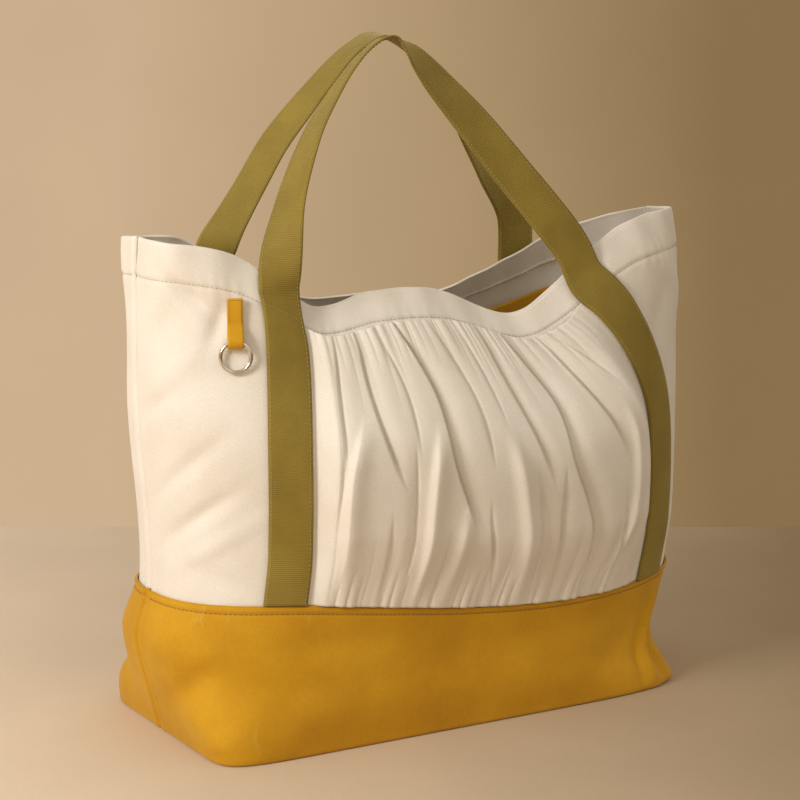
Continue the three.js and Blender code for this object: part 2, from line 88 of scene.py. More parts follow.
# Places of seams and stitches, and the rounding of edges. A level runs from 0 at the floor over 1
# at the suede seam to 2 at the rim, and along runs from 0 at the left side seam to 1.
SEWN_TOP_LEVEL = 1.95
HANDLE_STITCH_LEVEL = 1.9
BAND_FOLD_LEVEL = 0.945
INNER_POCKET_BOTTOM_LEVEL = 1.293
INNER_POCKET_LEFT = 0.5
INNER_POCKET_RIGHT = 0.855
POCKET_CLOTH_RUN = 0.48
CREASE_WIDTH = 0.0045
TAB_PINCH = 14 * MM
TAB_FACES_GAP = 0.1 * MM
TAB_STITCH_INSET = 1.5 * MM
TAB_STITCH_SHARE = 0.78
SEAM_POINTS = 240
STITCH_SIDES = 6
STITCH_SINK = 0.3
FLOOR_ROUND = 3.5 * MM
WIRE_PARTS = 96
WIRE_SIDES = 24

# How finely the pieces are divided.
ARC_STEPS = 160
PANEL_COLUMNS = 300
PANEL_ROWS = 130
BASE_COLUMNS = 300
POCKET_COLUMNS = 600
POCKET_ROWS = 130
STRAP_ACROSS = 13
LOOP_STATIONS = 320
SEWN_STATIONS = 120
SOFTEN_ROUNDS = 60

# Colours, and the ribs and ends of the webbing's weave. The webbing's rib grooves carry painted shade.
CANVAS_LIGHT = (0.82, 0.775, 0.7)
CANVAS_DARK = (0.77, 0.715, 0.63)
SUEDE_DARK = (0.44, 0.205, 0.003)
SUEDE_MIDDLE = (0.54, 0.272, 0.005)
SUEDE_LIGHT = (0.64, 0.345, 0.012)
SUEDE_WORN = (0.68, 0.42, 0.07)
WEBBING_DARK = (0.22, 0.152, 0.02)
WEBBING_LIGHT = (0.31, 0.222, 0.034)
WEBBING_GROOVE_SHADE = (0.13, 0.09, 0.012)
CANVAS_THREAD = (0.6, 0.5, 0.36)
SUEDE_THREAD = (0.3, 0.14, 0.01)
WEBBING_THREAD = (0.42, 0.33, 0.08)
RIBS_PER_METRE = 620
ENDS_PER_METRE = 1200

# Camera, floor, wall and lights. The wall is the world's colour beyond the floor's far edge, with
# painted light at its left and painted shade towards its right.
CAMERA_PLACE = (-1.1017, -1.8971, 0.7224)
CAMERA_TARGET = (-0.0055, 0.0015, 0.2484)
FOCAL_PIXELS = 2737
FLOOR_EDGE = 0.53
FLOOR_REACH = 4
ACROSS = (0.866, -0.5, 0)
FLOOR_PAINTED_LIT_LEFT = (0.8, 0.65, 0.49)
FLOOR_PAINTED_HALF_SHADE = (0.61, 0.48, 0.335)
FLOOR_PAINTED_SHADE_RIGHT = (0.27, 0.19, 0.1)
WALL_PAINTED_LIT_LEFT = (0.62, 0.44, 0.275)
WALL_PAINTED_HALF_SHADE = (0.44, 0.305, 0.165)
WALL_PAINTED_SHADE_RIGHT = (0.26, 0.168, 0.072)
WALL_SPREAD = 3.4
DOME = (0.62, 0.56, 0.485)
LIGHT_TARGET = (0, 0, 0.2)
KEY_PLACE = (-1.8, -0.5, 1.15)
KEY_SIZE = 0.6
KEY_POWER = 25
KEY_COLOUR = (1.0, 0.97, 0.93)
FILL_PLACE = (0.2, -2.6, 1.5)
FILL_SIZE = 2.2
FILL_POWER = 8
FILL_COLOUR = (1.0, 0.88, 0.72)
SENSOR_WIDTH = 36
PICTURE_PIXELS = 800


def table(names, *rows):
    """Named columns of numbers from rows in the same order."""
    return dict(zip(names.split(), np.array(rows, float).T))


# Lengths and depths of the bag's outline at each level.
SECTIONS = table(
    "level length depth shift",
    (0, BASE_LENGTH, BASE_DEPTH, 0),
    (0.33, BASE_LENGTH * 1.018, BASE_DEPTH * 1.02, -0.018),
    (0.7, SEAM_LENGTH, SEAM_DEPTH, -0.017),
    (1, SEAM_LENGTH, SEAM_DEPTH, 0.001),
    (1.15, SEAM_LENGTH * 1.023, SEAM_DEPTH, 0.011),
    (1.5, BELLY_LENGTH, BELLY_DEPTH, 0.009),
    (1.8, BELLY_LENGTH, BELLY_DEPTH * 0.78, 0.008),
    (2, RIM_LENGTH, RIM_DEPTH, 0.001),
)
# Share of the depth in front of the side seams, the seams' place, and how square the corners are.
CORNERS = table(
    "level front seam left right",
    (0, 0.55, 0.05, 14, 7),
    (0.33, 0.55, 0.04, 4.5, 3.5),
    (0.7, 0.55, 0.03, 3, 3.2),
    (1, 0.55, 0.015, 2.6, 2.9),
    (1.5, 0.55, 0.012, 2.5, 2.4),
    (1.8, 0.54, 0.012, 2.8, 3),
    (2, 0.54, 0.012, 5, 5),
)
# Sag of the suede seam and of both rims along the bag.
SAGS = table(
    "along band front back",
    (0, 0, 0, 0),
    (0.1, 0, 0.02, 0.12),
    (0.17, 0, 0.18, 0.2),
    (0.23, 0.03, 0.55, 0.5),
    (0.29, 0.15, 0.93, 0.85),
    (0.38, 0.4, 0.8, 1.18),
    (0.48, 0.7, 0.85, 1.2),
    (0.6, 0.95, 1.28, 1.28),
    (0.66, 1, 1.1, 1.15),
    (0.74, 1, 0.55, 0.9),
    (0.81, 0.95, 0.2, 0.62),
    (0.9, 0.9, 0.1, 0.4),
    (1, 0.9, 0.18, 0.18),
)
# Middles of the sewn straps, as shares of half their spacing.
FRONT_STRAPS = table(
    "level left right",
    (1, -0.98, 1.05),
    (1.25, -0.975, 1.12),
    (1.5, -0.965, 1.1),
    (1.8, -0.925, 0.86),
    (2, -0.9, 0.69),
)
BACK_STRAPS = table("level left right", (1, -1, 1), (1.5, -0.97, 0.97), (2, -0.85, 0.82))

# Free stretches of the handles: reach is a share of half the strap spacing, lean runs from the
# panel to the middle of the bag, rise is a share of the handle's rise, and turn is in degrees.
FRONT_HANDLE = table(
    "reach lean rise turn",
    (-1, 0, 0.05, -3),
    (-0.965, 0.07, 0.181, -52),
    (-0.883, 0.2, 0.358, -80),
    (-0.789, 0.3, 0.504, -88),
    (-0.67, 0.41, 0.653, -97),
    (-0.548, 0.51, 0.757, -102),
    (-0.423, 0.6, 0.853, -107),
    (-0.288, 0.68, 0.934, -110),
    (-0.129, 0.72, 0.998, -104),
    (-0.027, 0.72, 0.964, -72),
    (0.074, 0.69, 0.905, -44),
    (0.188, 0.63, 0.807, -30),
    (0.41, 0.47, 0.617, -12),
    (0.594, 0.3, 0.437, -4),
    (0.786, 0.14, 0.26, 0),
    (0.948, 0.05, 0.105, 0),
)
BACK_HANDLE = table(
    "reach lean rise turn",
    (-1, 0, 0.05, -5),
    (-0.925, 0.12, 0.193, -66),
    (-0.805, 0.26, 0.377, -74),
    (-0.69, 0.37, 0.548, -76),
    (-0.569, 0.48, 0.676, -79),
    (-0.43, 0.56, 0.805, -86),
    (-0.297, 0.63, 0.915, -92),
    (-0.178, 0.65, 0.972, -92),
    (-0.057, 0.63, 0.992, -88),
    (0.298, 0.52, 0.792, -60),
    (0.614, 0.33, 0.511, -40),
    (0.773, 0.22, 0.378, -24),
    (0.934, 0.11, 0.25, -8),
    (0.985, 0.06, 0.15, 0),
)


def column(rows, key, place, name):
    """Smooth value of a table's column at places between its rows."""
    keys = rows[key]
    values = rows[name]
    i = np.clip(np.searchsorted(keys, place, side="left") - 1, 0, len(keys) - 2)
    before = np.maximum(i - 1, 0)
    after = np.minimum(i + 2, len(keys) - 1)
    span = keys[i + 1] - keys[i]
    t = np.clip((place - keys[i]) / span, 0, 1)
    slope_a = (values[i + 1] - values[before]) / (keys[i + 1] - keys[before]) * span
    slope_b = (values[after] - values[i]) / (keys[after] - keys[i]) * span
    ease = t * t * (3 - 2 * t)
    bend = t * (1 - t) * ((1 - t) * slope_a - t * slope_b)
    return values[i] * (1 - ease) + values[i + 1] * ease + bend


def smoothstep(x, low, high):
    t = np.clip((x - low) / (high - low), 0, 1)
    return t * t * (3 - 2 * t)


def bump(distance):
    return np.exp(-distance * distance)


sections = {}


class HalfSection:
    """One side of the bag's outline at a level, with the distance along it."""

    def __init__(self, side, level):
        front = column(CORNERS, "level", level, "front")
        length = column(SECTIONS, "level", level, "length")
        depth = column(SECTIONS, "level", level, "depth")
        self.middle = column(SECTIONS, "level", level, "shift") * length
        self.long = length / 2
        self.deep = depth * (front if side == FRONT else 1 - front)
        self.seam = column(CORNERS, "level", level, "seam") * BASE_DEPTH
        self.left = column(CORNERS, "level", level, "left")
        self.right = column(CORNERS, "level", level, "right")
        self.angles = np.linspace(0, np.pi, ARC_STEPS + 1)
        x, y = self.point(self.angles)
        steps = np.hypot(np.diff(x), np.diff(y))
        self.arcs = np.concatenate([[0], np.cumsum(steps)])
        self.total = self.arcs[-1]

    def point(self, angle):
        c = -np.cos(angle)
        s = np.abs(np.sin(angle))
        n = np.where(c < 0, self.left, self.right)
        r = ((np.abs(c) / self.long) ** n + (s / self.deep) ** n) ** (-1 / n)
        return c * r, s * r

    def angle(self, along):
        return np.interp(np.clip(along, 0, 1) * self.total, self.arcs, self.angles)


def half_section(side, level):
    key = (side, round(float(level), 4))
    if key not in sections:
        sections[key] = HalfSection(side, level)
    return sections[key]


def height_at(side, along, level):
    band_top = BAND_HEIGHT - BAND_SAG * column(SAGS, "along", along, "band")
    if level <= 1:
        return level * band_top
    up = level - 1
    sag = RIM_SAG * column(SAGS, "along", along, "front" if side == FRONT else "back")
    return band_top + (BAG_HEIGHT - band_top) * up - sag * up * up


def cloth(side, along, level, lift=0.0):
    """Points of the bag's cloth along one level, lifted outwards."""
    along = np.asarray(along, float)
    half = half_section(side, level)
    x, y = half.point(half.angle(along))
    n = np.where(x < 0, half.left, half.right)
    nx = np.sign(x) * (np.abs(x) / half.long) ** (n - 1) / half.long
    ny = (y / half.deep) ** (n - 1) / half.deep
    size = np.hypot(nx, ny)
    return np.stack([
        half.middle + x + nx / size * lift,
        half.seam + side * (y + ny / size * lift + CLEARANCE / 2),
        height_at(side, along, level) + 0 * x,
    ], axis=-1)


def along_at(side, level, right):
    return 0.5 + right / half_section(side, level).total


def strap_at(side, level, end):
    straps = FRONT_STRAPS if side == FRONT else BACK_STRAPS
    return column(straps, "level", level, end) * STRAP_SPACING / 2


def make_object(name, verts, faces, mat, uv=None, smooth=True):
    """A mesh object from arrays. UV holds one pair of metres for each vertex."""
    mesh = bpy.data.meshes.new(name)
    mesh.from_pydata([tuple(v) for v in verts], [], [tuple(f) for f in faces])
    if uv is not None:
        layer = mesh.uv_layers.new(name="cloth")
        loops = np.empty(len(mesh.loops), int)
        mesh.loops.foreach_get("vertex_index", loops)
        layer.data.foreach_set("uv", np.asarray(uv, np.float32)[loops].ravel())
    mesh.polygons.foreach_set("use_smooth", [smooth] * len(mesh.polygons))
    mesh.materials.append(mat)
    obj = bpy.data.objects.new(name, mesh)
    bpy.context.scene.collection.objects.link(obj)
    return obj


def grid_faces(rows, columns, closed_rows=False, closed_columns=False, offset=0):
    i = np.arange(columns if closed_columns else columns - 1)
    j = np.arange(rows if closed_rows else rows - 1)
    j, i = np.meshgrid(j, i, indexing="ij")
    k = (i + 1) % columns
    m = (j + 1) % rows
    quads = np.stack([j * columns + i, j * columns + k, m * columns + k, m * columns + i], -1)
    return quads.reshape(-1, 4) + offset


def tube_faces(count, width, offset=0):
    """Faces of a tube of rings, with both its ends closed."""
    faces = [tuple(f) for f in grid_faces(count, width, closed_columns=True, offset=offset)]
    faces.append(tuple(offset + i for i in range(width))[::-1])
    faces.append(tuple(offset + (count - 1) * width + i for i in range(width)))
    return faces


def ladder(left, right):
    """Triangles between two rows of vertices that run side by side."""
    faces = []
    i = j = 0
    while i < len(left) - 1 or j < len(right) - 1:
        if (i + 1) * (len(right) - 1) <= (j + 1) * (len(left) - 1) and i < len(left) - 1:
            faces.append((left[i], right[j], left[i + 1]))
            i += 1
        else:
            faces.append((left[i], right[j], right[j + 1]))
            j += 1
    return faces


def loop_sheet(name, outer, inner, mat, uv_outer, uv_inner):
    """A wall between outer and inner rows that both go upwards, closed along all its edges."""
    rows = np.array(list(outer) + list(inner)[::-1])
    uv = np.array(list(uv_outer) + list(uv_inner)[::-1])
    count, width = rows.shape[:2]
    faces = [tuple(f) for f in grid_faces(count, width, closed_rows=True)]
    for k, turned in ((0, True), (width - 1, False)):
        outside = [j * width + k for j in range(len(outer))]
        inside = [(count - 1 - j) * width + k for j in range(len(inner))]
        faces += [f[::-1] if turned else f for f in ladder(outside, inside)]
    return make_object(name, rows.reshape(-1, 3), faces, mat, uv.reshape(-1, 2))


def end_dense(count, reach=0.026, extra=24):
    """Shares from 0 to 1, closer together beside the side seams."""
    middle = np.linspace(reach, 1 - reach, count - 2 * extra + 1)
    left = np.linspace(0, reach, extra + 1)[:-1]
    return np.concatenate([left, middle, 1 - left[::-1]])


def finish_piece(obj, body, replaced=()):
    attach(obj, body)
    if replaced:
        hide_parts(*replaced)
    return obj


# Materials

class Nodes:
    """Short calls for building one material's nodes."""

    def __init__(self, name, owner=None):
        self.mat = owner or bpy.data.materials.new(name)
        self.mat.use_nodes = True
        self.tree = self.mat.node_tree
        self.shader = self.tree.nodes["Background" if owner else "Principled BSDF"]

    def node(self, kind, **values):
        made = self.tree.nodes.new(kind)
        for key, value in values.items():
            setattr(made, key, value)
        return made

    def link(self, source, target):
        self.tree.links.new(source, target)

    def coordinates(self, kind):
        return self.node("ShaderNodeTexCoord").outputs[kind]

    def scaled(self, source, scale, angle=0.0):
        mapping = self.node("ShaderNodeMapping")
        mapping.inputs["Scale"].default_value = scale
        mapping.inputs["Rotation"].default_value = (0, 0, angle)
        self.link(source, mapping.inputs["Vector"])
        return mapping.outputs["Vector"]

    def noise(self, vector, scale, detail=3.0, rough=0.5):
        made = self.node("ShaderNodeTexNoise")
        made.inputs["Scale"].default_value = scale
        made.inputs["Detail"].default_value = detail
        made.inputs["Roughness"].default_value = rough
        self.link(vector, made.inputs["Vector"])
        return made.outputs["Fac"]

    def wave(self, vector, scale, direction="X", distortion=0.0):
        made = self.node("ShaderNodeTexWave", wave_type="BANDS", bands_direction=direction)
        made.inputs["Scale"].default_value = scale
        made.inputs["Distortion"].default_value = distortion
        self.link(vector, made.inputs["Vector"])
        return made.outputs["Fac"]

    def along(self, vector, direction):
        made = self.node("ShaderNodeVectorMath", operation="DOT_PRODUCT")
        made.inputs[1].default_value = direction
        self.link(vector, made.inputs[0])
        return made.outputs["Value"]

    def math(self, operation, a, b, c=0.5):
        made = self.node("ShaderNodeMath", operation=operation)
        for socket, value in zip(made.inputs, (a, b)):
            if isinstance(value, (int, float)):
                socket.default_value = value
            else:
                self.link(value, socket)
        made.inputs[2].default_value = c
        return made.outputs[0]

    def ramp(self, source, *stops):
        made = self.node("ShaderNodeValToRGB")
        elements = made.color_ramp.elements
        while len(elements) < len(stops):
            elements.new(0.5)
        for element, (place, colour) in zip(elements, stops):
            element.position = place
            element.color = (*colour, 1)
        self.link(source, made.inputs["Fac"])
        return made.outputs["Color"]

    def mix(self, factor, a, b, blend="MIX"):
        made = self.node("ShaderNodeMix", data_type="RGBA", blend_type=blend)
        for socket, value in ((made.inputs[0], factor), (made.inputs[6], a), (made.inputs[7], b)):
            if isinstance(value, (int, float)):
                socket.default_value = value
            elif isinstance(value, tuple):
                socket.default_value = (*value, 1)
            else:
                self.link(value, socket)
        return made.outputs[2]

    def bump(self, height, strength, distance):
        made = self.node("ShaderNodeBump")
        made.inputs["Strength"].default_value = strength
        made.inputs["Distance"].default_value = distance
        self.link(height, made.inputs["Height"])
        return made.outputs["Normal"]

    def set(self, **values):
        for key, value in values.items():
            socket = self.shader.inputs[key.replace("_", " ")]
            if isinstance(value, (int, float, tuple)):
                socket.default_value = value
            else:
                self.link(value, socket)


def canvas_material():
    m = Nodes("canvas")
    uv = m.coordinates("UV")
    place = m.coordinates("Object")
    blotches = m.noise(place, 22, 3)
    slubs = m.noise(m.scaled(uv, (260, 1900, 1)), 1, 2)
    twill = m.wave(m.scaled(uv, (1, 1, 1), 0.6), 330, "X", 1.2)
    nap = m.noise(place, 900, 2, 0.6)
    tone = m.ramp(blotches, (0.35, CANVAS_DARK), (0.65, CANVAS_LIGHT))
    tone = m.mix(0.1, tone, m.ramp(slubs, (0.3, (0.62, 0.52, 0.38)), (0.7, (0.98, 0.94, 0.86))))
    tone = m.mix(0.14, tone, m.ramp(nap, (0.35, (0.6, 0.5, 0.38)), (0.6, (0.95, 0.91, 0.84))))
    height = m.math("ADD", m.math("MULTIPLY", twill, 0.5), m.math("MULTIPLY", nap, 0.6))
    m.set(
        Base_Color=tone,
        Roughness=0.88,
        Sheen_Weight=0.25,
        Sheen_Roughness=0.5,
        Sheen_Tint=(1.0, 0.95, 0.86, 1.0),
        Specular_IOR_Level=0.25,
        Normal=m.bump(height, 0.6, 0.0004),
    )
    return m.mat


def suede_material():
    m = Nodes("suede")
    place = m.coordinates("Object")
    clouds = m.noise(place, 9, 4, 0.6)
    grain = m.noise(place, 420, 3, 0.65)
    fine = m.noise(place, 1500, 2, 0.6)
    scuffs = m.noise(m.scaled(place, (60, 60, 14), 0.7), 1, 5, 0.75)
    tone = m.ramp(clouds, (0.3, SUEDE_DARK), (0.52, SUEDE_MIDDLE), (0.72, SUEDE_LIGHT))
    tone = m.mix(0.22, tone, m.ramp(grain, (0.3, SUEDE_DARK), (0.7, SUEDE_LIGHT)))
    marks = m.ramp(scuffs, (0.62, (0, 0, 0)), (0.74, (0.4, 0.4, 0.4)))
    tone = m.mix(marks, tone, SUEDE_WORN)
    height = m.math("ADD", m.math("MULTIPLY", grain, 0.7), m.math("MULTIPLY", fine, 0.5))
    m.set(
        Base_Color=tone,
        Roughness=0.82,
        Sheen_Weight=0.3,
        Sheen_Roughness=0.45,
        Sheen_Tint=(1.0, 0.78, 0.35, 1.0),
        Specular_IOR_Level=0.3,
        Normal=m.bump(height, 0.4, 0.0005),
    )
    return m.mat


def webbing_material():
    m = Nodes("webbing")
    uv = m.coordinates("UV")
    place = m.coordinates("Object")
    ribs = m.wave(uv, RIBS_PER_METRE * np.pi / 10, "Y", 0.0)
    ends = m.wave(uv, ENDS_PER_METRE * np.pi / 10, "X", 0.6)
    clouds = m.noise(place, 30, 3)
    fibres = m.noise(m.scaled(uv, (2600, 300, 1)), 1, 2)
    tone = m.ramp(clouds, (0.3, WEBBING_DARK), (0.7, WEBBING_LIGHT))
    # painted shade: the rib grooves are coloured darker where the ribs' bump dips
    tone = m.mix(0.3, tone, m.ramp(ribs, (0.1, WEBBING_GROOVE_SHADE), (0.7, WEBBING_LIGHT)))
    tone = m.mix(0.15, tone, m.ramp(fibres, (0.3, WEBBING_DARK), (0.7, WEBBING_LIGHT)))
    height = m.math("ADD", ribs, m.math("MULTIPLY", m.math("ADD", ends, fibres), 0.25))
    m.set(
        Base_Color=tone,
        Roughness=0.68,
        Sheen_Weight=0.35,
        Sheen_Roughness=0.4,
        Sheen_Tint=(1.0, 0.9, 0.5, 1.0),
        Specular_IOR_Level=0.3,
        Normal=m.bump(height, 0.6, 0.0004),
    )
    return m.mat


def thread_material(name, colour):
    m = Nodes(name)
    twist = m.noise(m.coordinates("Object"), 2500, 1)
    darker = tuple(0.75 * c for c in colour)
    m.set(
        Base_Color=m.ramp(twist, (0.3, darker), (0.7, colour)),
        Roughness=0.6,
        Sheen_Weight=0.2,
        Normal=m.bump(twist, 0.3, 0.0002),
    )
    return m.mat


def nickel_material():
    m = Nodes("nickel")
    place = m.coordinates("Object")
    smudge = m.noise(place, 160, 3)
    m.set(
        Base_Color=m.ramp(smudge, (0.3, (0.62, 0.57, 0.49)), (0.7, (0.78, 0.74, 0.67))),
        Metallic=1.0,
        Roughness=m.math("ADD", 0.14, m.math("MULTIPLY", smudge, 0.12)),
    )
    return m.mat


canvas = canvas_material()
suede = suede_material()
webbing = webbing_material()
nickel = nickel_material()
canvas_thread = thread_material("canvas_thread", CANVAS_THREAD)
suede_thread = thread_material("suede_thread", SUEDE_THREAD)
webbing_thread = thread_material("webbing_thread", WEBBING_THREAD)


# Canvas panels

# Place, reach and depth of each soft dent: along, level, wide, tall, slant, deep. Raised ones are
# below zero.
FRONT_DENTS = [
    (0.105, 1.86, 0.035, 0.03, -1.2, 5.0 * MM),
    (0.14, 1.79, 0.018, 0.05, 3.0, 4.4 * MM),
    (0.06, 1.77, 0.04, 0.05, 1.6, 2.2 * MM),
    (0.1, 1.68, 0.06, 0.05, 1.4, -2.4 * MM),
    (0.09, 1.38, 0.05, 0.03, 1.6, 2.6 * MM),
    (0.1, 1.24, 0.05, 0.028, 1.4, 3.6 * MM),
    (0.05, 1.55, 0.03, 0.03, 1.2, 2.4 * MM),
    (0.12, 1.16, 0.06, 0.03, 1.2, -1.8 * MM),
    (0.13, 1.07, 0.05, 0.03, -0.6, 1.5 * MM),
    (0.88, 1.82, 0.05, 0.05, -2.0, -3.0 * MM),
    (0.84, 1.72, 0.03, 0.06, 2.0, 2.4 * MM),
]
BACK_DENTS = [
    (0.2, 1.7, 0.06, 0.08, 1.2, 3.0 * MM),
    (0.45, 1.5, 0.09, 0.07, 1.0, 3.2 * MM),
    (0.6, 1.78, 0.05, 0.06, -1.5, 2.6 * MM),
    (0.75, 1.35, 0.08, 0.06, -1.2, 3.4 * MM),
    (0.3, 1.22, 0.09, 0.05, 0.8, 2.2 * MM),
    (0.9, 1.6, 0.04, 0.1, 1.0, 2.0 * MM),
]


def panel_relief(side, along, level):
    """Hem step, puckers beside the hem stitches, and the soft dents of a part-filled bag."""
    relief = np.zeros_like(along)
    hem = smoothstep(level, HEM_LEVEL - 0.004, HEM_LEVEL + 0.006)
    groove = bump((level - HEM_LEVEL) / 0.007)
    pucker = 0.5 + 0.5 * np.sin(2 * np.pi * along * 46 + 3 * np.sin(2 * np.pi * along * 7))
    near = bump((level - HEM_LEVEL) / 0.04)
    relief += 0.5 * MM * hem - 0.7 * MM * groove + 0.5 * MM * pucker * near
    waves = np.sin(2 * np.pi * along * 11 + 1.3 * side) * np.sin(2 * np.pi * along * 5.3 + 2)
    relief += 1.6 * MM * waves * smoothstep(level, HEM_LEVEL - 0.1, 2)
    dents = FRONT_DENTS if side == FRONT else BACK_DENTS
    for d_along, d_level, d_wide, d_tall, d_slant, d_deep in dents:
        a = (along - d_along) / d_wide
        b = (level - d_level - d_slant * (along - d_along)) / d_tall
        relief -= d_deep * bump(np.hypot(a, b))
    seam = np.minimum(along, 1 - along)
    relief += -1.4 * MM * bump(seam / 0.003) + 0.5 * MM * bump((seam - 0.01) / 0.006)
    return relief


def panel_levels():
    near_hem = np.linspace(HEM_LEVEL - 0.03, HEM_LEVEL + 0.02, 14)
    low = np.linspace(TUCK_LEVEL, HEM_LEVEL - 0.035, PANEL_ROWS - 26)
    high = np.linspace(HEM_LEVEL + 0.027, 1.99, 12)
    return np.concatenate([low, near_hem, high])


def canvas_panel(side):
    name = "front_canvas" if side == FRONT else "back_canvas"
    along = end_dense(PANEL_COLUMNS)
    if side == BACK:
        along = along[::-1]
    levels = panel_levels()
    edge = 2 * CANVAS_THICKNESS
    outer = []
    inner = []
    uv_outer = []
    for level in levels:
        relief = panel_relief(side, along, level)
        wall = edge if level >= HEM_LEVEL else CANVAS_THICKNESS
        outer.append(cloth(side, along, level, relief))
        inner.append(cloth(side, along, level, relief - wall))
        total = half_section(side, level).total
        uv_outer.append(np.stack([along * total, 0 * along + level * PANEL_HEIGHT], -1))
    round_over = []
    top = panel_relief(side, along, 2.0)
    for turn in np.linspace(0, np.pi, 7):
        out = edge / 2 * (1 - np.cos(turn))
        rise = edge / 2 * np.sin(turn)
        row = cloth(side, along, 2.0, top - out)
        row[:, 2] += rise - edge / 2
        round_over.append(row)
    uv_top = [uv_outer[-1] + (0, 1.0 * MM * k) for k in range(len(round_over))]
    made = loop_sheet(name, outer + round_over, inner, canvas, uv_outer + uv_top, uv_outer)
    return finish_piece(made, "bag", ("front_panel" if side == FRONT else "back_panel",))


# Suede base

# Dents and creases of the suede, in the same order.
BASE_FRONT_DENTS = [
    (0.1, 0.42, 0.03, 0.2, 0.22, 4.0 * MM),
    (0.16, 0.12, 0.02, 0.12, 0.2, -1.5 * MM),
    (0.235, 0.3, 0.03, 0.18, 0.1, 2.2 * MM),
    (0.28, 0.72, 0.08, 0.12, 0.3, 2.0 * MM),
    (0.45, 0.5, 0.12, 0.2, 0.2, 1.6 * MM),
    (0.62, 0.55, 0.1, 0.2, -0.2, -1.8 * MM),
    (0.76, 0.5, 0.03, 0.3, 0.1, 2.0 * MM),
    (0.8, 0.42, 0.007, 0.3, 0.06, 4.0 * MM),
    (0.822, 0.42, 0.012, 0.32, 0.06, -5.0 * MM),
    (0.842, 0.5, 0.009, 0.34, 0.05, 9.0 * MM),
    (0.885, 0.3, 0.01, 0.3, 0.05, 4.0 * MM),
    (0.95, 0.15, 0.035, 0.16, 0.0, -11.0 * MM),
    (0.93, 0.62, 0.05, 0.2, 0.0, 7.0 * MM),
]
BASE_BACK_DENTS = [
    (0.1, 0.4, 0.03, 0.2, 0.2, 3.0 * MM),
    (0.3, 0.5, 0.1, 0.2, 0.3, 2.2 * MM),
    (0.6, 0.4, 0.12, 0.2, -0.2, 2.4 * MM),
    (0.9, 0.4, 0.02, 0.25, 0.1, 3.0 * MM),
]


def base_relief(side, along, level):
    """Folded top edge, side seams, the floor edge and the creases at the corners."""
    relief = np.zeros_like(along)
    relief += 0.7 * MM * smoothstep(level, BAND_FOLD_LEVEL, BAND_FOLD_LEVEL + 0.025)
    relief -= 0.5 * MM * bump((level - BAND_FOLD_LEVEL) / 0.012)
    seam = np.minimum(along, 1 - along)
    relief += -1.6 * MM * bump(seam / 0.0035) + 0.8 * MM * bump((seam - 0.009) / 0.006)
    dents = BASE_FRONT_DENTS if side == FRONT else BASE_BACK_DENTS
    fade = smoothstep(level, 0.0, 0.12) * (1 - smoothstep(level, 0.9, 0.97))
    for d_along, d_level, d_wide, d_tall, d_slant, d_deep in dents:
        a = (along - d_along - d_slant * (level - d_level)) / d_wide
        b = (level - d_level) / d_tall
        relief -= d_deep * bump(np.hypot(a, b)) * fade
    return relief


def base_ring(level, lift, height=None):
    along = end_dense(BASE_COLUMNS)[:-1]
    halves = []
    for side, shares in ((FRONT, along), (BACK, 1 - along)):
        halves.append(cloth(side, shares, level, lift + base_relief(side, shares, level)))
    ring = np.concatenate(halves)
    if height is not None:
        ring[:, 2] = height
    return ring


def suede_base():
    out = SUEDE_THICKNESS + CLEARANCE
    levels = np.concatenate([np.linspace(0.05, 0.9, 50), np.linspace(0.905, 0.995, 16)])
    rings = []
    low = levels[0]
    for inset in (0.9, 0.6, 0.3):
        rings.append(base_ring(low * 0.3, out - FLOOR_ROUND - inset * 60 * MM, 0.0))
    for turn in np.linspace(0, np.pi / 2, 7)[:-1]:
        lift = out - FLOOR_ROUND * (1 - np.sin(turn))
        rings.append(base_ring(low, lift, FLOOR_ROUND * (1 - np.cos(turn))))
    rings += [base_ring(level, out) for level in levels if level * BAND_HEIGHT > FLOOR_ROUND]
    for turn in np.linspace(0, np.pi, 5):
        ring = base_ring(1, CLEARANCE + SUEDE_THICKNESS / 2 * (1 + np.cos(turn)))
        ring[:, 2] += SUEDE_THICKNESS / 2 * (np.sin(turn) - 1)
        rings.append(ring)
    rings += [base_ring(level, CLEARANCE) for level in levels[::-4]]
    rings.append(base_ring(low, CLEARANCE - FLOOR_ROUND, SUEDE_THICKNESS))
    faces = tube_faces(len(rings), 2 * BASE_COLUMNS)
    verts = np.concatenate(rings)
    made = make_object("suede_shell", verts, faces, suede)
    return finish_piece(made, "bag", ("suede_base",))


# Gathered front pocket

